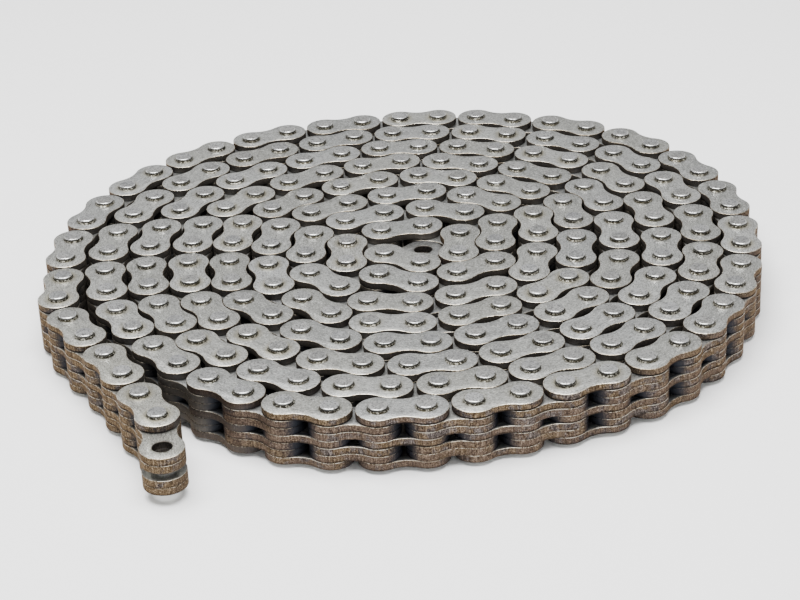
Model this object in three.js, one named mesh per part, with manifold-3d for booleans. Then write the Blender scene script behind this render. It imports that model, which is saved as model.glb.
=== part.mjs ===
// Leaf chain, 3 x 4 lacing, 19.05 mm (3/4 in) pitch, lying coiled flat with its pins upright.
// Millimetres, +Z up along the pins.
import * as THREE from 'three';
import Module from 'manifold-3d';

// ---- chain dimensions (mm)
const PITCH = 19.05;
const PLATE_HEIGHT = 18.0;        // full width across the round ends
const WAIST_WIDTH = 13.6;         // width across the middle of a plate
const PLATE_T = 3.3;
const PLATE_GAP = 0.05;           // running clearance between neighbouring plates
const HOLE_R = 3.98;
const PIN_R = 3.95;
const PRESS_R = 3.96;             // holes of the riveted outer plates
const PIN_LENGTH = 27.0;
const RIVET_R = 4.25;             // spread rim of the riveted pin end
const RIVET_H = 0.6;              // height of the bevel above the rim
const CUT_GAP = 0.3;              // between the joined turns
const BAND_EASE = 0.6;            // the joined turns' straight-sided waists are drawn in by this
const END_EASE = 0.05;            // and their round ends by this
const SHARP_BEND = 0.35;          // radians

// ---- lay of the coil (pitches and degrees; pins are counted from the free end)
const LOOSE_PINS = 10;            // pins 0..9 belong to links built piece by piece
const COIL = {
  first: 7, last: 206,            // pins that follow the spiral, of pins 0 to 225
  centre: [0.395, 2.77], drift: [0.015, -0.0335],    // drift of the centre per turn
  radius: 8.06, step: 0.937, start: -175,
  // out-of-round: cosine and sine of 2, 3, 4 and 5 times the angle, easing by 1% a turn
  waves: [[0.15, 0.06], [-0.005, 0.125], [-0.07, -0.07], [-0.055, -0.02]], easing: 0.01,
};
// directions of the links from pin 7 out to the free end, then the end link
const FREE_HEADINGS = [-91, -71, -62, -59, -63, -64, -64, -81];
// bends at pins 206 to 225, the tight curl round the middle
const CURL_BENDS = [-11, -51, -12, -14, -30, -25, -47, -5, -54, -8,
  -47, -15, -54, -51, -20, -47, -66, -61, -44, -121];
const PIN_SPACING = 0.953;        // least distance between pins of neighbouring turns
const NEST_SPACING = 0.842;       // least distance from a pin to the middle of a neighbouring link
const NEAR = 1.61;                // links further apart than this cannot touch
const SETTLE_ROUNDS = 400;
const LENGTH_PASSES = 30;

const rad = Math.PI / 180;
const between = (p, q, k) => [p[0] + (q[0] - p[0]) * k, p[1] + (q[1] - p[1]) * k];

function spiral(w) {
  const p = COIL.start * rad - w, t = w / (2 * Math.PI);
  let r = COIL.radius - COIL.step * t;
  COIL.waves.forEach(([c, d], k) => {
    r += (1 - COIL.easing * t) * (c * Math.cos((k + 2) * p) + d * Math.sin((k + 2) * p));
  });
  return [COIL.centre[0] + COIL.drift[0] * t + r * Math.cos(p),
    COIL.centre[1] + COIL.drift[1] * t + r * Math.sin(p), r];
}

// centres of all the pins, with the free end's hole first and the inner end's hole last
function layOut() {
  const pins = [];
  let w = 0;
  pins[COIL.first] = spiral(0).slice(0, 2);
  for (let i = COIL.first + 1; i <= COIL.last; i++) {
    const [x, y] = pins[i - 1];
    w += 1 / Math.max(spiral(w)[2], 0.6);
    for (let k = 0; k < 8; k++) {
      const a = spiral(w), b = spiral(w + 1e-5);
      const f = Math.hypot(a[0] - x, a[1] - y) - 1;
      const g = (Math.hypot(b[0] - x, b[1] - y) - 1 - f) / 1e-5;
      w -= Math.min(0.3, Math.max(-0.3, f / g));
    }
    pins[i] = spiral(w).slice(0, 2);
  }
  const line = pins.slice(COIL.first);
  for (const heading of FREE_HEADINGS) {
    const [x, y] = line[0];
    line.unshift([x + Math.cos(heading * rad), y + Math.sin(heading * rad)]);
  }
  const n = line.length;
  let heading = Math.atan2(line[n - 1][1] - line[n - 2][1], line[n - 1][0] - line[n - 2][0]);
  for (const bend of CURL_BENDS) {
    heading += bend * rad;
    const [x, y] = line[line.length - 1];
    line.push([x + Math.cos(heading), y + Math.sin(heading)]);
  }
  settle(line);
  return line;
}

const shift = (p, dx, dy) => {
  p[0] += dx;
  p[1] += dy;
};

// moves the points of one side and the other apart until p and q are at least so far from each other
function push(p, q, least, pointsP, pointsQ) {
  const dx = p[0] - q[0], dy = p[1] - q[1], d = Math.hypot(dx, dy);
  if (d >= least || d === 0) return;
  const k = 0.5 * (least - d) / d;
  for (const point of pointsP) shift(point, k * dx, k * dy);
  for (const point of pointsQ) shift(point, -k * dx, -k * dy);
}

// eases touching turns apart while every link keeps its length
function settle(line) {
  const n = line.length;
  for (let round = 0; round < SETTLE_ROUNDS; round++) {
    for (let i = 0; i < n; i++) {
      for (let j = i + 2; j < n; j++) {
        if (Math.hypot(line[i][0] - line[j][0], line[i][1] - line[j][1]) > NEAR) continue;
        push(line[i], line[j], PIN_SPACING, [line[i]], [line[j]]);
        for (const [a, b] of [[i, j], [j, i]]) {
          for (const c of [b, b - 1]) {
            if (c < 0 || c + 1 >= n || Math.abs(a - c) < 2 || Math.abs(a - c - 1) < 2) continue;
            const middle = between(line[c], line[c + 1], 0.5);
            push(line[a], middle, NEST_SPACING, [line[a]], [line[c], line[c + 1]]);
          }
        }
      }
    }
    for (let pass = 0; pass < LENGTH_PASSES; pass++) {
      for (let i = 0; i + 1 < n; i++) {
        const dx = line[i + 1][0] - line[i][0], dy = line[i + 1][1] - line[i][1];
        const k = 0.5 * (Math.hypot(dx, dy) - 1) / Math.hypot(dx, dy);
        shift(line[i], k * dx, k * dy);
        shift(line[i + 1], -k * dx, -k * dy);
      }
    }
  }
}

// ---- outlines, as lists of [x, y] turning anticlockwise
// hourglass plate between two pin centres
function plateOutline(a, b, steps = 7) {
  const half = PITCH / 2, r = PLATE_HEIGHT / 2, h = WAIST_WIDTH / 2;
  const waistR = (half * half + h * h - r * r) / (2 * (r - h));
  const turn = Math.atan2(h + waistR, half);          // where the round end meets the waist
  const ux = (b[0] - a[0]) / PITCH, uy = (b[1] - a[1]) / PITCH;
  const at = (c, dx, dy) => [c[0] + dx * ux - dy * uy, c[1] + dx * uy + dy * ux];
  const mid = [(a[0] + b[0]) / 2, (a[1] + b[1]) / 2];
  const pts = [];
  for (let k = 0; k <= steps; k++) {
    const t = turn + (2 * Math.PI - 2 * turn) * k / steps;
    pts.push(at(a, r * Math.cos(t), r * Math.sin(t)));
  }
  pts.push(at(mid, 0, -h));
  for (let k = 0; k <= steps; k++) {
    const t = turn - Math.PI + (2 * Math.PI - 2 * turn) * k / steps;
    pts.push(at(b, r * Math.cos(t), r * Math.sin(t)));
  }
  pts.push(at(mid, 0, h));
  return pts;
}

function ring(c, r, n, phase) {
  const pts = [];
  for (let k = 0; k < n; k++) {
    const t = phase + 2 * Math.PI * k / n;
    pts.push([c[0] + r * Math.cos(t), c[1] + r * Math.sin(t)]);
  }
  return pts;
}

// a round hole drawn as a polygon whose flats lie on the hole's radius
const hole = (c, r, phase, n = 10) => ring(c, r / Math.cos(Math.PI / n), n, phase);

const heading = (a, b) => Math.atan2(b[1] - a[1], b[0] - a[0]);

// ---- solids
function prism(outline, holes, z0, z1) {
  const loops = [outline, ...holes].map(l => l.map(p => new THREE.Vector2(p[0], p[1])));
  if (THREE.ShapeUtils.isClockWise(loops[0])) loops[0].reverse();
  for (const l of loops.slice(1)) if (!THREE.ShapeUtils.isClockWise(l)) l.reverse();
  const faces = THREE.ShapeUtils.triangulateShape(loops[0], loops.slice(1));
  const flat = loops.flat(), n = flat.length;
  const pos = [];
  for (const z of [z0, z1]) for (const p of flat) pos.push(p.x, p.y, z);
  const idx = [];
  for (const [a, b, c] of faces) idx.push(c, b, a, a + n, b + n, c + n);
  let start = 0;
  for (const l of loops) {
    for (let k = 0; k < l.length; k++) {
      const a = start + k, b = start + (k + 1) % l.length;
      idx.push(a, b, b + n, a, b + n, a + n);
    }
    start += l.length;
  }
  const g = new THREE.BufferGeometry();
  g.setAttribute('position', new THREE.Float32BufferAttribute(pos, 3));
  g.setIndex(idx);
  return g;
}

// stacked rings of one polygon, closed at both ends: rows of [radius, z]
function turned(c, rows, n, phase) {
  const pos = [], idx = [], last = rows.length - 1;
  for (const [r, z] of rows) for (const [x, y] of ring(c, r, n, phase)) pos.push(x, y, z);
  for (let k = 0; k < last; k++) {
    for (let i = 0; i < n; i++) {
      const a = k * n + i, b = k * n + (i + 1) % n;
      idx.push(a, b, b + n, a, b + n, a + n);
    }
  }
  for (let i = 1; i + 1 < n; i++) {
    idx.push(0, i + 1, i, last * n, last * n + i, last * n + i + 1);
  }
  const g = new THREE.BufferGeometry();
  g.setAttribute('position', new THREE.Float32BufferAttribute(pos, 3));
  g.setIndex(idx);
  return g;
}

// ---- materials
const steel = (name, color, metalness, roughness) =>
  new THREE.MeshStandardMaterial({ name, color, metalness, roughness });
const plateSteel = steel('plate_steel', 0xa9a79c, 0.9, 0.42);
const pinSteel = steel('pin_steel', 0xb4bac2, 0.95, 0.28);
const coilSteel = steel('coil_steel', 0x9f9a8c, 0.9, 0.45);

// ---- levels
const RISE = PLATE_T + PLATE_GAP;
const PACK = 7 * PLATE_T + 6 * PLATE_GAP;
const BASE = (PIN_LENGTH - PACK) / 2;           // underside of the lowest plate
const level = k => BASE + k * RISE;

const wasm = await Module();
wasm.setup();
const toSolid = g => new wasm.Manifold(new wasm.Mesh({
  numProp: 3,
  vertProperties: new Float32Array(g.getAttribute('position').array),
  triVerts: new Uint32Array(g.getIndex().array),
}));
const fromSolid = s => {
  const m = s.getMesh();
  const g = new THREE.BufferGeometry();
  g.setAttribute('position', new THREE.Float32BufferAttribute(Array.from(m.vertProperties), 3));
  g.setIndex(Array.from(m.triVerts));
  return g;
};

const part = new THREE.Group();
part.name = 'leaf_chain';
const add = (name, geometry, material) => {
  geometry.computeVertexNormals();
  const mesh = new THREE.Mesh(geometry, material);
  mesh.name = name;
  part.add(mesh);
};

// pin centres in mm, with the middle of their box over the origin
const raw = layOut();
const span = axis => {
  const v = raw.map(p => p[axis]);
  return (Math.min(...v) + Math.max(...v)) / 2;
};
const mx = span(0), my = span(1);
const all = raw.map(p => [(p[0] - mx) * PITCH, (p[1] - my) * PITCH]);
const freeHole = all[0], pins = all.slice(1, -1), innerHole = all[all.length - 1];

const plate = (name, a, b, k, ra, rb) => add(name, prism(plateOutline(a, b),
  [hole(a, ra, heading(a, b)), hole(b, rb, heading(a, b))], level(k), level(k) + PLATE_T), plateSteel);

// ---- free end, piece by piece: four plates, then pinned and plain links in turn
[1, 2, 4, 5].forEach((k, i) => plate(`end_link_plate_${i + 1}`, freeHole, pins[0], k, HOLE_R, HOLE_R));
for (let i = 0; i < LOOSE_PINS; i += 2) {
  const a = pins[i], b = pins[i + 1], h = heading(a, b), name = `pin_link_${i / 2 + 1}`;
  plate(`${name}_bottom_plate`, a, b, 0, PRESS_R, PRESS_R);
  plate(`${name}_middle_plate`, a, b, 3, HOLE_R, HOLE_R);
  plate(`${name}_top_plate`, a, b, 6, PRESS_R, PRESS_R);
  for (const [end, c] of [['outer', a], ['inner', b]]) {
    add(`${name}_${end}_pin`, turned(c, [
      [RIVET_R - 0.5, 0], [RIVET_R, RIVET_H], [PIN_R, BASE],
      [PIN_R, PIN_LENGTH - BASE], [RIVET_R, PIN_LENGTH - RIVET_H], [RIVET_R - 0.5, PIN_LENGTH],
    ], 10, h), pinSteel);
  }
}
for (let i = 1; i + 2 < LOOSE_PINS; i += 2) {
  [1, 2, 4, 5].forEach((k, n) => plate(`plain_link_${(i + 1) / 2}_plate_${n + 1}`,
    pins[i], pins[i + 1], k, HOLE_R, HOLE_R));
}

// ---- the rest of the coil, the links of each turn joined
const first = LOOSE_PINS, last = pins.length - 1;
const turns = [];
let swept = 0, begin = first;
for (let i = first; i < last - 1; i++) {
  let d = heading(pins[i], pins[i + 1]) - heading(pins[i - 1], pins[i]);
  d -= 2 * Math.PI * Math.round(d / (2 * Math.PI));
  swept -= d;
  if (swept > 2 * Math.PI && last - i > 8) {
    turns.push([begin, i]);
    begin = i + 1;
    swept = 0;
  }
}
turns.push([begin, last - 1]);

const halfWaist = WAIST_WIDTH / 2 - BAND_EASE, endR = PLATE_HEIGHT / 2 - END_EASE;
const side = (c, t, r) => [c[0] + r * Math.cos(t), c[1] + r * Math.sin(t)];
const band = (from, to, roundStart, roundEnd) => {
  const left = [], right = [];
  const cut = 0.5 + CUT_GAP / 2 / PITCH;
  if (!roundStart) {
    const t = heading(pins[from - 1], pins[from]), m = between(pins[from - 1], pins[from], cut);
    left.push(side(m, t + Math.PI / 2, halfWaist));
    right.push(side(m, t - Math.PI / 2, halfWaist));
  }
  for (let i = from; i <= to; i++) {
    const before = heading(pins[i - 1], pins[i]), after = heading(pins[i], pins[i + 1]);
    let bend = after - before;
    bend -= 2 * Math.PI * Math.round(bend / (2 * Math.PI));
    const t = before + bend / 2;
    if (i === from && roundStart) {
      for (const q of [-150, -115]) right.push(side(pins[i], after + q * rad, endR));
      for (const q of [180, 145, 110]) left.push(side(pins[i], after + q * rad, endR));
    } else if (i === to && roundEnd) {
      for (const q of [70, 35, 0]) left.push(side(pins[i], before + q * rad, endR));
      for (const q of [-70, -35]) right.push(side(pins[i], before + q * rad, endR));
    } else {
      // a sharp bend shows more of the round end on its outer side
      const fan = Math.abs(bend) > SHARP_BEND ? [-bend / 2, bend / 2] : [0];
      for (const q of fan) left.push(side(pins[i], t + Math.PI / 2 + q, endR));
      right.push(side(pins[i], t - Math.PI / 2, endR));
    }
    if (i < to || !roundEnd) {
      const m = i < to ? between(pins[i], pins[i + 1], 0.5) : between(pins[i], pins[i + 1], 1 - cut);
      left.push(side(m, after + Math.PI / 2, halfWaist));
      right.push(side(m, after - Math.PI / 2, halfWaist));
    }
  }
  return prism([...right, ...left.reverse()], [], BASE, BASE + PACK);
};

turns.forEach(([from, to], n) => {
  const opening = n === 0, closing = n === turns.length - 1;
  const solids = [toSolid(band(from, to, opening, closing))];
  for (let i = from; i <= to; i++) {
    const t = heading(pins[i - 1], pins[i]);
    solids.push(toSolid(prism(ring(pins[i], PIN_R, 6, t), [], 0, PIN_LENGTH)));
  }
  if (opening) {
    // first plain link: its plates reach back to the last loose pin
    const a = pins[from - 1], b = pins[from], t = heading(a, b);
    for (const [k0, k1] of [[1, 2], [4, 5]]) {
      solids.push(toSolid(prism(plateOutline(a, b), [hole(a, HOLE_R, t)], level(k0), level(k1) + PLATE_T)));
    }
  }
  if (closing) {
    // last pinned link, left open for the inner end link
    const a = pins[to], b = pins[to + 1], t = heading(a, b);
    for (const k of [0, 3, 6]) {
      solids.push(toSolid(prism(plateOutline(a, b), [], level(k), level(k) + PLATE_T)));
    }
    solids.push(toSolid(turned(b, [[PIN_R, 0], [PIN_R, PIN_LENGTH]], 10, t)));
  }
  add(`coil_turn_${n + 1}`, fromSolid(wasm.Manifold.union(solids)), coilSteel);
});

// ---- inner end link
[1, 2, 4, 5].forEach((k, i) => plate(`inner_end_plate_${i + 1}`, pins[last], innerHole, k, HOLE_R, HOLE_R));

export default part;
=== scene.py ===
"""A coiled leaf chain, 3 x 4 lacing, 19.05 mm pitch: every plate and pin of its 227 links."""
import math
import random

import bpy
import numpy as np
from mathutils import Matrix, Vector
from mathutils.geometry import tessellate_polygon


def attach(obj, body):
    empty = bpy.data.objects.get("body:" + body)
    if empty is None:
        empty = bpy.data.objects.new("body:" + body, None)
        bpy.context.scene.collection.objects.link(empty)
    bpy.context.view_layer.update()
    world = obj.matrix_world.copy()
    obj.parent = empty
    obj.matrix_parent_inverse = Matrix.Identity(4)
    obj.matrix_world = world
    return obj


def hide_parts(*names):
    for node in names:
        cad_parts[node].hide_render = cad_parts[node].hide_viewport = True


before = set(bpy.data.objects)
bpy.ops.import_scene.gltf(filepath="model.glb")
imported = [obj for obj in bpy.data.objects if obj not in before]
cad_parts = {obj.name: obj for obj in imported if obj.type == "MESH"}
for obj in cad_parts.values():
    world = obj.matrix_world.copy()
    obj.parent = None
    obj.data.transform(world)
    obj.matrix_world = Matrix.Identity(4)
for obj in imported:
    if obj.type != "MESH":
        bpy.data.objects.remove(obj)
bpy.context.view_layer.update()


# ---------------------------------------------------------------- dimensions (mm)
PITCH = 19.05
PLATE_HEIGHT = 18.0
WAIST_WIDTH = 13.6
PLATE_T = 3.3
PLATE_GAP = 0.05
PIN_R = 3.95
HOLE_R = 3.98
PRESS_R = 3.96
PIN_LENGTH = 27.0
LOOSE_PINS = 10
RISE = PLATE_T + PLATE_GAP
PACK = 7 * PLATE_T + 6 * PLATE_GAP
BASE = (PIN_LENGTH - PACK) / 2

# ---------------------------------------------------------------- lay of the coil
COIL = dict(first=7, last=206, centre=(0.395, 2.77), drift=(0.015, -0.0335),
            radius=8.06, step=0.937, start=-175, easing=0.01,
            waves=((0.15, 0.06), (-0.005, 0.125), (-0.07, -0.07), (-0.055, -0.02)))
FREE_HEADINGS = [-91, -71, -62, -59, -63, -64, -64, -81]
CURL_BENDS = [-11, -51, -12, -14, -30, -25, -47, -5, -54, -8,
              -47, -15, -54, -51, -20, -47, -66, -61, -44, -121]
PIN_SPACING = 0.953
NEST_SPACING = 0.842
NEAR = 1.61
SETTLE_ROUNDS = 400
LENGTH_PASSES = 30
NEWTON_STEPS = 8
MAX_STEP = 0.3
TINY = 1e-5


def spiral(w):
    """x, y and radius of the coil after turning by w, in pitches."""
    p, t = math.radians(COIL["start"]) - w, w / (2 * math.pi)
    r = COIL["radius"] - COIL["step"] * t
    for k, (c, d) in enumerate(COIL["waves"], 2):
        r += (1 - COIL["easing"] * t) * (c * math.cos(k * p) + d * math.sin(k * p))
    return (COIL["centre"][0] + COIL["drift"][0] * t + r * math.cos(p),
            COIL["centre"][1] + COIL["drift"][1] * t + r * math.sin(p), r)


def lay_out():
    """Centres in pitches: the loose end's hole, every pin, the inner end's hole."""
    w = 0.0
    line = [list(spiral(0)[:2])]
    for _ in range(COIL["last"] - COIL["first"]):
        x, y = line[-1]
        w += 1 / max(spiral(w)[2], 0.6)
        for _ in range(NEWTON_STEPS):
            a, b = spiral(w), spiral(w + TINY)
            f = math.hypot(a[0] - x, a[1] - y) - 1
            g = (math.hypot(b[0] - x, b[1] - y) - 1 - f) / TINY
            w -= min(MAX_STEP, max(-MAX_STEP, f / g))
        line.append(list(spiral(w)[:2]))
    for deg in FREE_HEADINGS:
        x, y = line[0]
        line.insert(0, [x + math.cos(math.radians(deg)), y + math.sin(math.radians(deg))])
    heading = math.atan2(line[-1][1] - line[-2][1], line[-1][0] - line[-2][0])
    for bend in CURL_BENDS:
        heading += math.radians(bend)
        x, y = line[-1]
        line.append([x + math.cos(heading), y + math.sin(heading)])
    settle(line)
    return line


def push(p, q, least, points_p, points_q):
    """Moves two groups of points apart until p and q are at least so far from each other."""
    dx, dy = p[0] - q[0], p[1] - q[1]
    d = math.hypot(dx, dy)
    if d >= least or d == 0:
        return
    k = 0.5 * (least - d) / d
    for point in points_p:
        shift(point, k * dx, k * dy)
    for point in points_q:
        shift(point, -k * dx, -k * dy)


def shift(point, dx, dy):
    point[0] += dx
    point[1] += dy


def settle(line):
    """Eases touching turns apart while every link keeps its length."""
    n = len(line)
    for _ in range(SETTLE_ROUNDS):
        at = np.array(line)
        apart = np.sqrt(((at[:, None] - at[None]) ** 2).sum(2))
        for i, j in np.argwhere(np.triu(apart < NEAR + 0.1, 2)).tolist():
            if math.hypot(line[i][0] - line[j][0], line[i][1] - line[j][1]) > NEAR:
                continue
            push(line[i], line[j], PIN_SPACING, [line[i]], [line[j]])
            for a, b in ((i, j), (j, i)):
                for c in (b, b - 1):
                    if c < 0 or c + 1 >= n or abs(a - c) < 2 or abs(a - c - 1) < 2:
                        continue
                    middle = [(line[c][0] + line[c + 1][0]) / 2, (line[c][1] + line[c + 1][1]) / 2]
                    push(line[a], middle, NEST_SPACING, [line[a]], [line[c], line[c + 1]])
        for _ in range(LENGTH_PASSES):
            for i in range(n - 1):
                dx, dy = line[i + 1][0] - line[i][0], line[i + 1][1] - line[i][1]
                k = 0.5 * (math.hypot(dx, dy) - 1) / math.hypot(dx, dy)
                shift(line[i], k * dx, k * dy)
                shift(line[i + 1], -k * dx, -k * dy)


LINE = np.array(lay_out())
MIDDLE = (LINE.min(0) + LINE.max(0)) / 2
LINE = (LINE - MIDDLE) * PITCH
PINS = LINE[1:-1]


def heading(a, b):
    return math.atan2(b[1] - a[1], b[0] - a[0])


# ---------------------------------------------------------------- camera
FOCAL_PX = 2251.2
IMAGE_WIDTH = 800
SENSOR_MM = 36.0
ELEVATION = 28.125
ROLL = -2.774
DISTANCE = 50.10
e, r = math.radians(ELEVATION), math.radians(ROLL)
forward = Vector((0, math.cos(e), -math.sin(e)))
right, down = Vector((1, 0, 0)), Vector((0, -math.sin(e), -math.cos(e)))
cam_x = math.cos(r) * right - math.sin(r) * down
cam_down = math.sin(r) * right + math.cos(r) * down
place = Vector((-MIDDLE[0] * PITCH, -MIDDLE[1] * PITCH, PIN_LENGTH)) - forward * DISTANCE * PITCH
cam_data = bpy.data.cameras.new("camera")
cam_data.sensor_width = SENSOR_MM
cam_data.lens = FOCAL_PX / IMAGE_WIDTH * SENSOR_MM
cam_data.clip_start, cam_data.clip_end = 0.05, 20
cam = bpy.data.objects.new("camera", cam_data)
turn = Matrix((cam_x, -cam_down, -forward)).transposed().to_4x4()
cam.matrix_world = Matrix.Translation(place / 1000) @ turn
bpy.context.scene.collection.objects.link(cam)
bpy.context.scene.camera = cam

# ---------------------------------------------------------------- shapes (local, mm)
ARC_POINTS = 22
WAIST_POINTS = 9
HOLE_POINTS = 24
PIN_POINTS = 32
UPPER_ROLL = 0.18
BORE_CHAMFER = 0.16
FACE, EDGE, BORE, RIM = range(4)
PIN_END, PIN_SIDE, PIN_RIM, PIN_BURR = range(4)


def plate_loop(inset):
    """Hourglass outline from (0, 0) to (PITCH, 0), anticlockwise, drawn in by inset."""
    half, r, h = PITCH / 2, PLATE_HEIGHT / 2, WAIST_WIDTH / 2
    waist_r = (half * half + h * h - r * r) / (2 * (r - h))
    turn_at = math.atan2(h + waist_r, half)
    pts = []
    for k in range(ARC_POINTS):
        t = turn_at + (2 * math.pi - 2 * turn_at) * k / (ARC_POINTS - 1)
        pts.append(((r - inset) * math.cos(t), (r - inset) * math.sin(t)))
    open_at = math.pi / 2 - turn_at
    reach = waist_r + inset
    for k in range(1, WAIST_POINTS + 1):
        t = open_at - 2 * open_at * k / (WAIST_POINTS + 1)
        pts.append((half - reach * math.sin(t), -(h + waist_r) + reach * math.cos(t)))
    lower = [(half - (x - half), -y) for x, y in pts]
    return np.array(pts + lower)


def plate_shape(hole_r, burr=0.14):
    """A blanked plate: rolled upper edge, sheared wall, broken lower edge.
    Gives vertices, faces, each face's material number and each vertex's place along the edge."""
    roll = UPPER_ROLL
    rows = [(0.0, burr), (burr * 0.3, burr * 0.3), (burr, 0.0), (PLATE_T - roll, 0.0),
            (PLATE_T - roll * 0.62, roll * 0.08), (PLATE_T - roll * 0.3, roll * 0.32), (PLATE_T, roll)]
    kinds = [EDGE, EDGE, EDGE, RIM, RIM, RIM]
    verts, coords = [], []
    base = plate_loop(0)
    n = len(base)
    step = np.hypot(*(np.roll(base, -1, 0) - base).T)
    along = np.concatenate([[0], np.cumsum(step)[:-1]])
    for z, inset in rows:
        for k, (x, y) in enumerate(plate_loop(inset)):
            verts.append((x, y, z))
            coords.append((along[k], z))
    faces, mats = [], []
    for k in range(len(rows) - 1):
        for i in range(n):
            a, b = k * n + i, k * n + (i + 1) % n
            faces.append((a, b, b + n, a + n))
            mats.append(kinds[k])
    holes_low, holes_high = [], []
    for centre in (0.0, PITCH):
        hole_rows = [(0.0, BORE_CHAMFER), (BORE_CHAMFER, 0.0),
                     (PLATE_T - BORE_CHAMFER, 0.0), (PLATE_T, BORE_CHAMFER)]
        start, hole_n = len(verts), HOLE_POINTS
        for z, out in hole_rows:
            rr = (hole_r + out) / math.cos(math.pi / hole_n)
            for i in range(hole_n):
                t = 2 * math.pi * i / hole_n
                verts.append((centre + rr * math.cos(t), rr * math.sin(t), z))
                coords.append((rr * t, z))
        for k in range(len(hole_rows) - 1):
            for i in range(hole_n):
                a, b = start + k * hole_n + i, start + k * hole_n + (i + 1) % hole_n
                faces.append((b, a, a + hole_n, b + hole_n))
                mats.append(BORE)
        holes_low.append(list(range(start, start + hole_n)))
        holes_high.append(list(range(start + 3 * hole_n, start + 4 * hole_n)))
    top0 = (len(rows) - 1) * n
    caps = ((list(range(n)), holes_low, False), (list(range(top0, top0 + n)), holes_high, True))
    for outer, holes, up in caps:
        loops = [outer] + [h[::-1] for h in holes]
        flat = [i for loop in loops for i in loop]
        tris = tessellate_polygon([[Vector((verts[i][0], verts[i][1], 0)) for i in loop] for loop in loops])
        for t in tris:
            a, b, c = (flat[i] for i in t)
            pa, pb, pc = verts[a], verts[b], verts[c]
            area = (pb[0] - pa[0]) * (pc[1] - pa[1]) - (pb[1] - pa[1]) * (pc[0] - pa[0])
            if abs(area) < 1e-9:
                continue
            faces.append((a, b, c) if (area > 0) == up else (a, c, b))
            mats.append(FACE)
    return np.array(verts, float), faces, mats, np.array(coords, float)


def pin_shape(rng):
    """A pin with both ends rounded over and a ragged raised ring at each foot, left by the riveting."""
    n = PIN_POINTS
    tall = PIN_LENGTH / 2 - rng.uniform(0.0, 0.16)
    foot = PACK / 2
    top_r = PIN_R - rng.uniform(0.06, 0.2)
    rounding = rng.uniform(0.26, 0.42)
    burr = rng.uniform(0.3, 0.55)
    ragged = [rng.uniform(0.0, 1.0) ** 1.5 for _ in range(n)]
    # radius, height from mid length, material of the band below, how ragged
    rows = [(PIN_R, 0.0, PIN_SIDE, 0), (PIN_R, foot - 0.02, PIN_SIDE, 0),
            (PIN_R + burr + 0.05, foot + 0.02, PIN_BURR, 0.5),
            (PIN_R + burr * 0.7, foot + 0.2, PIN_BURR, 1),
            (PIN_R + 0.14, foot + 0.45, PIN_BURR, 1),
            (PIN_R + 0.04, foot + 0.75, PIN_BURR, 0.4),
            (top_r + 0.03, tall - rounding * 1.1, PIN_SIDE, 0)]
    for k in range(1, 6):
        t = math.pi / 2 * k / 5
        inset = rounding * (1 - math.cos(t))
        rows.append((top_r - inset, tall - rounding * (1 - math.sin(t)), PIN_RIM, 0))
    rows.append((PIN_R * 0.5, tall + 0.015, PIN_END, 0))
    verts, coords, faces, mats = [], [], [], []
    for sign in (-1, 1):
        start = len(verts)
        for rad, z, _, rough in rows:
            for i in range(n):
                t = 2 * math.pi * i / n
                rr = rad + rough * (ragged[i] - 0.4) * 0.45
                zz = z + rough * ragged[(i + 5) % n] * 0.3
                verts.append((rr * math.cos(t), rr * math.sin(t), sign * zz))
                coords.append((rr * t, z))
        for k in range(len(rows) - 1):
            for i in range(n):
                a, b = start + k * n + i, start + k * n + (i + 1) % n
                faces.append((a, b, b + n, a + n) if sign > 0 else (b, a, a + n, b + n))
                mats.append(rows[k + 1][2])
        last = start + (len(rows) - 1) * n
        ring = tuple(range(last, last + n))
        faces.append(ring if sign > 0 else ring[::-1])
        mats.append(PIN_END)
    # both halves share the ring at mid length
    half = len(rows) * n
    faces = [tuple(i - half if half <= i < half + n else i for i in f) for f in faces]
    keep = [i for i in range(len(verts)) if not half <= i < half + n]
    new = {old: k for k, old in enumerate(keep)}
    verts = np.array([verts[i] for i in keep], float)
    verts[:, 2] += PIN_LENGTH / 2
    faces = [tuple(new[i] for i in f) for f in faces]
    return verts, faces, mats, np.array([coords[i] for i in keep], float)


# ---------------------------------------------------------------- materials


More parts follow.
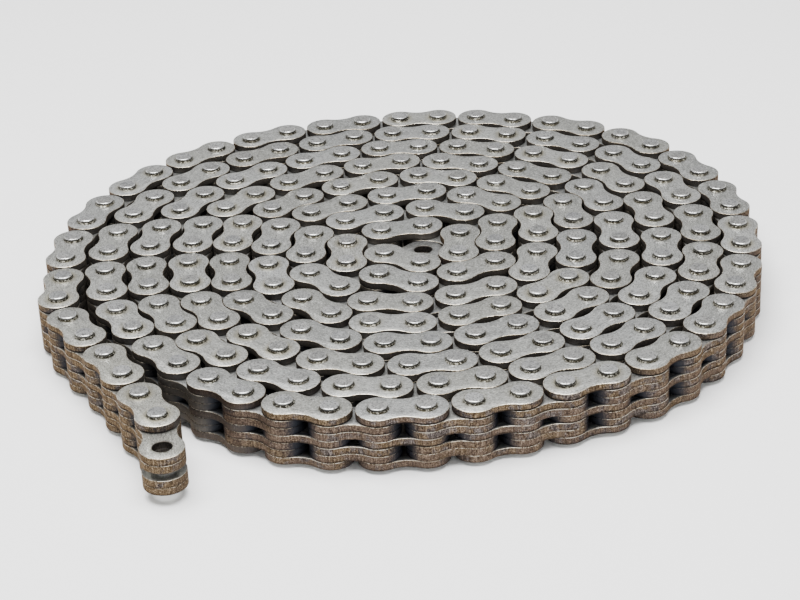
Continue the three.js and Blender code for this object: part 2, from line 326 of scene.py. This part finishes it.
class Nodes:
    """Short names for the shader nodes that the materials use."""

    def __init__(self, name):
        self.mat = bpy.data.materials.new(name)
        self.mat.use_nodes = True
        self.tree = self.mat.node_tree
        self.tree.nodes.clear()
        self.out = self.tree.nodes.new("ShaderNodeOutputMaterial")
        self.bsdf = self.tree.nodes.new("ShaderNodeBsdfPrincipled")
        self.link(self.bsdf.outputs[0], self.out.inputs[0])

    def link(self, a, b):
        self.tree.links.new(a, b)

    def put(self, socket, value):
        if isinstance(value, bpy.types.NodeSocket):
            self.link(value, socket)
        else:
            socket.default_value = value

    def attr(self, name):
        n = self.tree.nodes.new("ShaderNodeAttribute")
        n.attribute_name = name
        return n.outputs["Vector"]

    def split(self, vec):
        n = self.tree.nodes.new("ShaderNodeSeparateXYZ")
        self.link(vec, n.inputs[0])
        return n.outputs

    def math(self, op, a, b=0.0):
        n = self.tree.nodes.new("ShaderNodeMath")
        n.operation = op
        for s, v in zip(n.inputs, (a, b)):
            self.put(s, v)
        return n.outputs[0]

    def scale(self, vec, by):
        n = self.tree.nodes.new("ShaderNodeVectorMath")
        n.operation = "MULTIPLY"
        self.put(n.inputs[0], vec)
        self.put(n.inputs[1], by)
        return n.outputs[0]

    def noise(self, vec, scale, detail=3.0, rough=0.55, distort=0.0):
        n = self.tree.nodes.new("ShaderNodeTexNoise")
        self.put(n.inputs["Vector"], vec)
        n.inputs["Scale"].default_value = scale
        n.inputs["Detail"].default_value = detail
        n.inputs["Roughness"].default_value = rough
        n.inputs["Distortion"].default_value = distort
        return n.outputs[0]

    def step(self, value, low, high, out_low=0.0, out_high=1.0):
        n = self.tree.nodes.new("ShaderNodeMapRange")
        n.interpolation_type = "SMOOTHSTEP"
        self.put(n.inputs["Value"], value)
        for k, v in (("From Min", low), ("From Max", high), ("To Min", out_low), ("To Max", out_high)):
            n.inputs[k].default_value = v
        return n.outputs[0]

    def mix(self, fac, a, b):
        n = self.tree.nodes.new("ShaderNodeMix")
        n.data_type = "RGBA"
        self.put(n.inputs[0], fac)
        for s, v in ((n.inputs[6], a), (n.inputs[7], b)):
            self.put(s, (*v, 1.0) if isinstance(v, tuple) and len(v) == 3 else v)
        return n.outputs[2]

    def ramp(self, fac, stops):
        n = self.tree.nodes.new("ShaderNodeValToRGB")
        self.put(n.inputs[0], fac)
        els = n.color_ramp.elements
        while len(els) < len(stops):
            els.new(0.5)
        for e_, (pos, col) in zip(els, stops):
            e_.position, e_.color = pos, (*col, 1.0)
        return n.outputs[0]

    def bump(self, height, strength, distance):
        """distance is in metres."""
        n = self.tree.nodes.new("ShaderNodeBump")
        n.inputs["Strength"].default_value = strength
        n.inputs["Distance"].default_value = distance
        self.put(n.inputs["Height"], height)
        return n.outputs[0]

    def finish(self, color, rough, metal, normal=None):
        b = self.bsdf.inputs
        self.put(b["Base Color"], color)
        self.put(b["Roughness"], rough)
        self.put(b["Metallic"], metal)
        if normal is not None:
            self.link(normal, b["Normal"])
        return self.mat


def plate_face_material():
    """Ground satin steel: salt-and-pepper grain, grinding lines, handling marks, stains round the pins, and
    painted shade in shut-in and covered places and between the round ends.
    """
    m = Nodes("plate_face")
    co, local = m.attr("plate_co"), m.attr("local_co")
    nook, recess, _ = m.split(m.attr("painted_shade"))
    tone, warm, _ = m.split(m.attr("mood"))
    grain = m.noise(m.scale(co, (0.8, 1.6, 1.0)), 1.0, 5, 0.75)
    mottle = m.noise(co, 0.22, 5, 0.6)
    fine = m.noise(co, 1.5, 4, 0.7)
    smear = m.step(m.noise(m.scale(co, (0.5, 1.0, 1.0)), 0.16, 3, 0.6, 0.8), 0.5, 0.72)
    lines = m.noise(m.scale(co, (0.16, 2.6, 1.0)), 0.9, 4, 0.7, 0.3)
    base = m.ramp(m.math("ADD", m.math("MULTIPLY", mottle, 0.5), m.math("MULTIPLY", tone, 0.5)),
                  [(0.2, (0.39, 0.4, 0.395)), (0.5, (0.52, 0.53, 0.525)), (0.85, (0.68, 0.69, 0.685))])
    # warm: random heat tint, plus painted warm light on the loose end
    base = m.mix(m.math("MULTIPLY", warm, 0.6), base, (0.47, 0.45, 0.345))
    base = m.mix(m.math("MULTIPLY", m.step(fine, 0.5, 0.6), 0.9), base, (0.84, 0.84, 0.81))
    base = m.mix(m.math("MULTIPLY", m.step(grain, 0.5, 0.6), 0.8), base, (0.185, 0.183, 0.17))
    base = m.mix(m.math("MULTIPLY", m.step(lines, 0.54, 0.66), 0.6), base, (0.2, 0.2, 0.185))
    base = m.mix(m.math("MULTIPLY", smear, 0.25), base, (0.33, 0.345, 0.32))
    # specks, and on some plates a tint, round the pins
    x, y, _ = m.split(local)
    x = m.math("SUBTRACT", m.math("ABSOLUTE", m.math("SUBTRACT", x, PITCH / 2)), PITCH / 2)
    away = m.math("SQRT", m.math("ADD", m.math("MULTIPLY", x, x), m.math("MULTIPLY", y, y)))
    ring = m.step(away, 4.2, 5.6, 1.0, 0.0)
    stain = m.math("MULTIPLY", ring, m.step(m.noise(co, 0.8, 4, 0.7), 0.4, 0.58))
    base = m.mix(m.math("MULTIPLY", stain, 0.75), base, (0.11, 0.1, 0.07))
    tint = m.math("MULTIPLY", m.step(away, 4.5, 7.5, 1.0, 0.0), m.step(tone, 0.7, 0.9))
    base = m.mix(m.math("MULTIPLY", tint, 0.45), base, (0.36, 0.32, 0.2))
    # painted shade: darker where another turn shuts the flank in, under other plates, and in the recess
    # between the round ends
    base = m.mix(m.math("MULTIPLY", nook, 0.85), base, (0.14, 0.14, 0.14))
    base = m.mix(m.math("MULTIPLY", recess, 0.9), base, (0.035, 0.039, 0.05))
    rough = m.math("ADD", 0.26, m.math("MULTIPLY", mottle, 0.18))
    rough = m.math("ADD", rough, m.math("MULTIPLY", smear, 0.06))
    height = m.math("ADD", m.math("MULTIPLY", grain, 0.6), m.math("MULTIPLY", fine, 0.5))
    height = m.math("ADD", height, m.math("MULTIPLY", stain, 0.8))
    return m.finish(base, rough, 0.9, m.bump(height, 0.5, 0.0001))


def plate_edge_material():
    """Sheared plate edge: gritty brown, gold or slate scale (the gold partly painted warm light on the
    loose end), oil and a painted contact shadow in the seams, painted shade in the gaps.
    """
    m = Nodes("plate_edge")
    co = m.attr("edge_co")
    nook, recess, _ = m.split(m.attr("painted_shade"))
    tone, warm, seam = m.split(m.attr("mood"))
    _, _, height_mm = m.split(m.attr("local_co"))
    grit = m.noise(m.scale(co, (1.0, 1.2, 1.0)), 1.5, 5, 0.8)
    lines = m.noise(m.scale(co, (2.4, 0.3, 1.0)), 0.9, 3, 0.6)
    patch = m.noise(co, 0.13, 3, 0.55)
    blue = m.noise(m.scale(co, (1.0, 1.0, 1.7)), 0.2, 3, 0.6)
    scale = m.math("ADD", m.math("MULTIPLY", grit, 0.7), m.math("MULTIPLY", lines, 0.3))
    brown = m.ramp(scale, [(0.39, (0.008, 0.005, 0.004)), (0.46, (0.052, 0.036, 0.027)),
                           (0.53, (0.118, 0.084, 0.063)), (0.61, (0.27, 0.207, 0.157))])
    gold = m.ramp(scale, [(0.40, (0.008, 0.005, 0.003)), (0.47, (0.06, 0.04, 0.023)),
                          (0.53, (0.13, 0.092, 0.056)), (0.60, (0.33, 0.255, 0.17))])
    slate = m.ramp(scale, [(0.40, (0.006, 0.005, 0.006)), (0.47, (0.04, 0.034, 0.034)),
                           (0.53, (0.098, 0.084, 0.08)), (0.60, (0.3, 0.265, 0.25))])
    # heat: patches of heat tint, plus painted warm light on the loose end through warm
    heat = m.math("ADD", m.math("MULTIPLY", patch, 0.9), m.math("MULTIPLY", warm, 0.5))
    base = m.mix(m.step(heat, 0.5, 0.8), brown, gold)
    cool = m.math("ADD", blue, m.math("MULTIPLY", m.math("SUBTRACT", tone, 0.5), 0.16))
    base = m.mix(m.step(cool, 0.52, 0.66, 0.0, 0.85), base, slate)
    # oil in the seam with a painted contact shadow: the bottom of the edge, up to about 1.1 mm, is darkened
    seam_oil_and_shadow = m.math("MULTIPLY", m.step(height_mm, 0.4, 1.1, 1.0, 0.0), seam)
    base = m.mix(seam_oil_and_shadow, base, (0.006, 0.005, 0.005))
    # painted shade on shut-in flanks and covered parts, darkest in the recess between the round ends
    painted_shade = m.ramp(nook, [(0.5, (0.034, 0.027, 0.026)), (0.95, (0.1, 0.096, 0.088))])
    base = m.mix(m.step(nook, 0.0, 0.7, 0.0, 0.78), base, painted_shade)
    base = m.mix(m.math("MULTIPLY", recess, 0.96), base, (0.017, 0.02, 0.027))
    rough = m.math("ADD", 0.42, m.math("MULTIPLY", grit, 0.3))
    m.bsdf.inputs["Specular IOR Level"].default_value = 0.25
    m.bsdf.inputs["Specular Tint"].default_value = (0.5, 0.4, 0.3, 1.0)
    return m.finish(base, rough, 0.75, m.bump(scale, 0.9, 0.0002))


def plate_rim_material():
    """The rolled upper edge of a plate: burnished, with a painted highlight in its light colour, and
    painted shade where other plates cover it.
    """
    m = Nodes("plate_rim")
    co = m.attr("edge_co")
    nook, recess, _ = m.split(m.attr("painted_shade"))
    tone, _, _ = m.split(m.attr("mood"))
    n = m.noise(co, 0.75, 4, 0.75)
    wear_and_highlight = m.math("ADD", n, m.math("MULTIPLY", m.math("SUBTRACT", tone, 0.5), 0.16))
    # painted highlight on burnished steel: the light end of the ramp brightens the rim line
    base = m.ramp(wear_and_highlight, [(0.4, (0.2, 0.16, 0.11)), (0.48, (0.58, 0.5, 0.38)), (0.6, (0.9, 0.84, 0.72))])
    # painted shade where other plates or turns close the rim in
    base = m.mix(m.math("MULTIPLY", nook, 0.75), base, (0.1, 0.085, 0.066))
    base = m.mix(m.math("MULTIPLY", recess, 0.95), base, (0.012, 0.012, 0.016))
    rough = m.math("ADD", 0.18, m.math("MULTIPLY", n, 0.2))
    return m.finish(base, rough, 0.95, m.bump(n, 0.4, 0.00008))


def bore_material():
    """Pierced hole wall: darker steel with oil in it."""
    m = Nodes("plate_bore")
    co = m.attr("edge_co")
    n = m.noise(m.scale(co, (2.0, 0.5, 1.0)), 1.5, 3, 0.6)
    base = m.ramp(n, [(0.3, (0.03, 0.028, 0.026)), (0.7, (0.12, 0.105, 0.09))])
    rough = m.math("ADD", 0.35, m.math("MULTIPLY", n, 0.2))
    return m.finish(base, rough, 0.85, m.bump(n, 0.4, 0.00008))


def pin_end_material():
    """Riveted pin end: grey, pecked by the riveting tool."""
    m = Nodes("pin_end")
    co = m.attr("plate_co")
    tone, warm, _ = m.split(m.attr("mood"))
    cloud = m.noise(co, 0.35, 4, 0.65)
    peck = m.noise(co, 1.1, 4, 0.75)
    base = m.ramp(m.math("ADD", m.math("MULTIPLY", cloud, 0.6), m.math("MULTIPLY", tone, 0.4)),
                  [(0.25, (0.48, 0.485, 0.49)), (0.5, (0.65, 0.655, 0.66)), (0.75, (0.82, 0.82, 0.815))])
    base = m.mix(m.math("MULTIPLY", warm, 0.3), base, (0.44, 0.41, 0.33))
    base = m.mix(m.step(peck, 0.5, 0.6, 0.0, 0.85), base, (0.2, 0.2, 0.2))
    base = m.mix(m.step(peck, 0.32, 0.45, 0.9, 0.0), base, (0.92, 0.92, 0.91))
    rough = m.math("ADD", 0.22, m.math("MULTIPLY", cloud, 0.2))
    return m.finish(base, rough, 0.95, m.bump(peck, 0.5, 0.0001))


def pin_side_material():
    """Turned side of a pin, dark with oil; painted shade where it is buried in the plates."""
    m = Nodes("pin_side")
    co = m.attr("edge_co")
    n = m.noise(m.scale(co, (0.6, 2.5, 1.0)), 0.9, 4, 0.7)
    base = m.ramp(n, [(0.35, (0.02, 0.019, 0.017)), (0.55, (0.07, 0.066, 0.06)),
                      (0.7, (0.25, 0.235, 0.21))])
    _, _, height_mm = m.split(m.attr("local_co"))
    reach = m.math("ABSOLUTE", m.math("SUBTRACT", height_mm, PIN_LENGTH / 2))
    # painted shade on the part of the pin inside the plate pack
    buried_shade = m.step(reach, PACK / 2 - 0.1, PACK / 2 + 0.1, 0.9, 0.0)
    base = m.mix(buried_shade, base, (0.01, 0.01, 0.012))
    rough = m.math("ADD", 0.26, m.math("MULTIPLY", n, 0.2))
    return m.finish(base, rough, 0.9, m.bump(n, 0.4, 0.00008))


def pin_burr_material():
    """Raised ragged metal round a pin: dark, with bright torn points."""
    m = Nodes("pin_burr")
    co = m.attr("plate_co")
    _, warm, _ = m.split(m.attr("mood"))
    n = m.noise(co, 1.0, 4, 0.8)
    base = m.ramp(n, [(0.42, (0.012, 0.011, 0.008)), (0.52, (0.055, 0.05, 0.038)),
                      (0.62, (0.6, 0.58, 0.5))])
    base = m.mix(m.math("MULTIPLY", warm, 0.25), base, (0.1, 0.085, 0.045))
    rough = m.math("ADD", 0.32, m.math("MULTIPLY", n, 0.2))
    return m.finish(base, rough, 0.9, m.bump(n, 0.9, 0.0002))


def pin_rim_material():
    """Rounded rim of a pin end, burnished, with a painted highlight in its light colour."""
    m = Nodes("pin_rim")
    co = m.attr("plate_co")
    n = m.noise(co, 0.9, 4, 0.7)
    # painted highlight on burnished steel: lighter than the pin end
    base = m.ramp(n, [(0.38, (0.3, 0.3, 0.28)), (0.47, (0.72, 0.72, 0.7)), (0.6, (0.96, 0.96, 0.95))])
    rough = m.math("ADD", 0.18, m.math("MULTIPLY", n, 0.2))
    return m.finish(base, rough, 0.95, m.bump(n, 0.3, 0.00006))


PLATE_MATS = [plate_face_material(), plate_edge_material(), bore_material(), plate_rim_material()]
PIN_MATS = [pin_end_material(), pin_side_material(), pin_rim_material(), pin_burr_material()]

# ---------------------------------------------------------------- pieces


class Piece:
    """Several closed shapes gathered in one object."""

    def __init__(self, name, mats):
        self.name, self.mats = name, mats
        self.v, self.co, self.edge, self.local, self.mood, self.painted_shade = [], [], [], [], [], []
        self.loops, self.starts, self.mat = [], [], []
        self.count = 0
        self.loop_count = 0

    def put(self, shape, origin, angle, z, mood, seed, nook=0.0, recess=0.0):
        """mood is (tone, warmth with painted warm light on the loose end, oil and a painted contact shadow
        in the seam); nook and recess, both painted shade, may be given per vertex; all 0 to 1.
        """
        v, f, m, u = shape
        c, s = math.cos(angle), math.sin(angle)
        x = origin[0] + v[:, 0] * c - v[:, 1] * s
        y = origin[1] + v[:, 0] * s + v[:, 1] * c
        n = len(v)
        self.v.append(np.stack([x, y, v[:, 2] + z], 1))
        self.co.append(np.stack([v[:, 0] + seed * 7.0, v[:, 1] + seed * 3.0, v[:, 2] + seed * 11.0], 1))
        self.edge.append(np.stack([u[:, 0] + seed * 5.0, u[:, 1] + seed * 2.0, np.full(n, seed)], 1))
        self.local.append(v)
        self.mood.append(np.tile(mood, (n, 1)))
        self.painted_shade.append(np.stack([np.full(n, nook), np.full(n, recess), np.zeros(n)], 1))
        for face in f:
            self.starts.append(self.loop_count)
            self.loops += [i + self.count for i in face]
            self.loop_count += len(face)
        self.mat += m
        self.count += n

    def build(self, body, slot, *replaces):
        me = bpy.data.meshes.new(self.name)
        v = np.concatenate(self.v) / 1000
        me.vertices.add(len(v))
        me.vertices.foreach_set("co", v.astype(np.float32).ravel())
        me.loops.add(self.loop_count)
        me.loops.foreach_set("vertex_index", np.array(self.loops, np.int32))
        me.polygons.add(len(self.starts))
        me.polygons.foreach_set("loop_start", np.array(self.starts, np.int32))
        me.polygons.foreach_set("material_index", np.array(self.mat, np.int32))
        me.update(calc_edges=True)
        me.validate()
        for name, data in (("plate_co", self.co), ("edge_co", self.edge),
                           ("local_co", self.local), ("mood", self.mood), ("painted_shade", self.painted_shade)):
            a = me.attributes.new(name, "FLOAT_VECTOR", "POINT")
            a.data.foreach_set("vector", np.concatenate(data).astype(np.float32).ravel())
        for mat in self.mats:
            me.materials.append(mat)
        me.polygons.foreach_set("use_smooth", [m != FACE for m in self.mat])
        me.set_sharp_from_angle(angle=math.radians(SHARP_ANGLE))
        ob = bpy.data.objects.new(self.name, me)
        bpy.context.scene.collection.objects.link(ob)
        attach(ob, body)
        if replaces:
            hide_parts(*replaces)
        return ob


SHARP_ANGLE = 32
SHUT_GAP = 2.5  # pitches: another turn nearer than this starts to close a flank off
SHUT_FADE = 1.2
MOST_SEED = 900
RNG = random.Random(634)
OUTER = plate_shape(PRESS_R, burr=0.38)
PLAIN = plate_shape(HOLE_R)
LEVEL = [BASE + k * RISE for k in range(7)]
PINNED_LINK = (("bottom_plate", 0, OUTER), ("middle_plate", 3, PLAIN), ("top_plate", 6, OUTER))
PLAIN_LAYERS = (1, 2, 4, 5)


def shut_in(i):
    """How far other turns close off the left and right flanks of the link from LINE[i] to LINE[i + 1]."""
    a, b = LINE[i], LINE[i + 1]
    mid, along = (a + b) / 2, (b - a) / PITCH
    others = np.delete(LINE, slice(max(0, i - 3), i + 5), 0) - mid
    apart, across = np.hypot(*others.T), others @ np.array([-along[1], along[0]])
    found = []
    for side in (1, -1):
        near = apart[across * side > 0.4 * PITCH]
        gap = near.min() / PITCH if len(near) else SHUT_GAP
        found.append(float(np.clip((SHUT_GAP - gap) / SHUT_FADE, 0, 1)))
    return found


def add_plate(piece, shape, i, k, lid=False, least=0.0):
    """One plate of the link from LINE[i] to LINE[i + 1], in layer k; a lid has nothing on top of it.
    nook is painted shade on shut-in flanks and under other plates, recess painted shade between the round
    ends."""
    a, b = LINE[i], LINE[i + 1]
    x, y, z = shape[0].T
    left, right = shut_in(i)
    before = -x if i > 0 else x * 0
    after = x - PITCH if i < len(LINE) - 2 else x * 0
    past = np.maximum(before, after) / (PLATE_HEIGHT / 2)
    # painted shade masks: recess darkens the round ends towards the neighbouring links, flank darkens sides
    # shut in by another turn
    recess = np.clip((past - 0.42) / 0.4, 0, 1) * (0.4 if k in (0, 6) else 1.0)
    flank = np.where(y > 0, left, right) * np.clip((np.abs(y) - 1.0) / 3.0, 0, 1)
    nook = np.maximum(flank, 0.8 * min(left, right))
    # painted shade on faces and rims that other plates cover
    if lid:
        below = np.clip((PLATE_T - z) / 0.25, 0, 1)
        nook, recess = np.maximum(nook * below, least), recess * below
    else:
        nook = np.where(z > PLATE_T - 0.15, np.maximum(nook, 0.62), nook)
        nook = np.where(z > PLATE_T - 0.01, np.maximum(nook, 0.9) if k < 5 else 0.15 + 0.3 * nook, nook)
        recess = np.where(z > PLATE_T - 0.01, recess * (1.0 if k < 5 else 0.2), recess)
    # painted warm light: the loose end's plates turn golden on top of their random heat tint
    painted_warm_light = np.clip(1.1 - i / 14, 0, 0.85)  # the loose end's edges are warmer
    warm = RNG.random() * 0.6
    if k < 6 or i < LOOSE_PINS:
        warm = np.clip(painted_warm_light + warm - 0.1, 0, 1)
    # seam: oil plus painted contact shadow under each plate, nearly full under the top plates
    seam = 0.95
    if k < 6:
        seam = RNG.uniform(0.5, 1.0) if k == 3 else RNG.uniform(0.0, 0.8)
    mood = (RNG.random(), warm, seam)
    piece.put(shape, a, heading(a, b), LEVEL[k], mood, RNG.randint(1, MOST_SEED), nook, recess)


def add_pin(piece, i, angle):
    shape = pin_shape(RNG)
    mood = (RNG.random(), RNG.random(), 0.0)
    piece.put(shape, PINS[i], angle, 0.0, mood, RNG.randint(1, MOST_SEED))


# loose end, one object for every plate and pin
for i, k in enumerate(PLAIN_LAYERS):
    name = f"end_link_plate_{i + 1}"
    p = Piece(name + "_steel", PLATE_MATS)
    add_plate(p, PLAIN, 0, k, lid=k == 5)
    p.build("end_link", "plate_steel", name)
for j in range(0, LOOSE_PINS, 2):
    link = f"pin_link_{j // 2 + 1}"
    for part_name, k, shape in PINNED_LINK:
        p = Piece(f"{link}_{part_name}_steel", PLATE_MATS)
        add_plate(p, shape, j + 1, k, lid=k == 6)
        p.build(link, "plate_steel", f"{link}_{part_name}")
    for end, i in (("outer", j), ("inner", j + 1)):
        p = Piece(f"{link}_{end}_pin_steel", PIN_MATS)
        add_pin(p, i, heading(PINS[j], PINS[j + 1]))
        p.build(link, "pin_steel", f"{link}_{end}_pin")
for j in range(1, LOOSE_PINS - 2, 2):
    link = f"plain_link_{(j + 1) // 2}"
    for i, k in enumerate(PLAIN_LAYERS):
        p = Piece(f"{link}_plate_{i + 1}_steel", PLATE_MATS)
        add_plate(p, PLAIN, j + 1, k)
        p.build(link, "plate_steel", f"{link}_plate_{i + 1}")

# the coil, in runs of one turn each
last = len(PINS) - 1
SHORTEST_RUN = 8
turns, swept, begin = [], 0.0, LOOSE_PINS
for i in range(LOOSE_PINS, last - 1):
    d = heading(PINS[i], PINS[i + 1]) - heading(PINS[i - 1], PINS[i])
    d -= 2 * math.pi * round(d / (2 * math.pi))
    swept -= d
    if swept > 2 * math.pi and last - i > SHORTEST_RUN:
        turns.append((begin, i))
        begin, swept = i + 1, 0.0
turns.append((begin, last))

for n, (start, stop) in enumerate(turns, 1):
    outer = Piece(f"turn_{n}_pinned_link_plates", PLATE_MATS)
    plain = Piece(f"turn_{n}_plain_link_plates", PLATE_MATS)
    pins = Piece(f"turn_{n}_pins", PIN_MATS)
    for i in range(start, stop + 1):
        if i % 2:
            for _, k, shape in PINNED_LINK:
                add_plate(outer, shape, i, k, lid=k == 6)
        else:
            for k in PLAIN_LAYERS:
                add_plate(plain, PLAIN, i, k)
        add_pin(pins, i, heading(PINS[i - 1], PINS[i]))
    outer.build("coil", "coil_steel", f"coil_turn_{n}")
    plain.build("coil", "coil_steel")
    pins.build("coil", "pin_steel")
for i, k in enumerate(PLAIN_LAYERS):
    name = f"inner_end_plate_{i + 1}"
    p = Piece(name + "_steel", PLATE_MATS)
    # least: painted shade over the whole inner end, in the middle of the coil
    add_plate(p, PLAIN, last + 1, k, lid=k == 5, least=0.5)
    p.build("coil", "plate_steel", name)

# ---------------------------------------------------------------- studio
floor_mat = Nodes("studio_floor")
where = floor_mat.tree.nodes.new("ShaderNodeTexCoord").outputs["Object"]
floor_tones = [(0.3, (0.93, 0.93, 0.93)), (0.7, (0.95, 0.95, 0.95))]
floor_mat.finish(floor_mat.ramp(floor_mat.noise(where, 2.0), floor_tones), 0.85, 0.0)
me = bpy.data.meshes.new("floor")
reach = 6.0
corners = [(-reach, -reach, 0), (reach, -reach, 0), (reach, reach, 0), (-reach, reach, 0)]
me.from_pydata(corners, [], [(0, 1, 2, 3)])
me.materials.append(floor_mat.mat)
floor = bpy.data.objects.new("floor", me)
bpy.context.scene.collection.objects.link(floor)


def area_light(name, at, size, power):
    """A rectangular light at the given place, facing the middle of the coil."""
    data = bpy.data.lights.new(name, "AREA")
    data.shape, data.size, data.size_y, data.energy = "RECTANGLE", size[0], size[1], power
    ob = bpy.data.objects.new(name, data)
    ob.location = at
    ob.rotation_euler = (-Vector(at)).to_track_quat("-Z", "Y").to_euler()
    bpy.context.scene.collection.objects.link(ob)


area_light("top_softbox", (-0.1, -0.15, 1.3), (1.3, 0.9), 58)
area_light("front_softbox", (0.7, -1.5, 0.7), (0.9, 0.5), 3)
world = bpy.data.worlds.new("studio")
world.use_nodes = True
world.node_tree.nodes["Background"].inputs[0].default_value = (1, 1, 1, 1)
world.node_tree.nodes["Background"].inputs[1].default_value = 0.5
bpy.context.scene.world = world
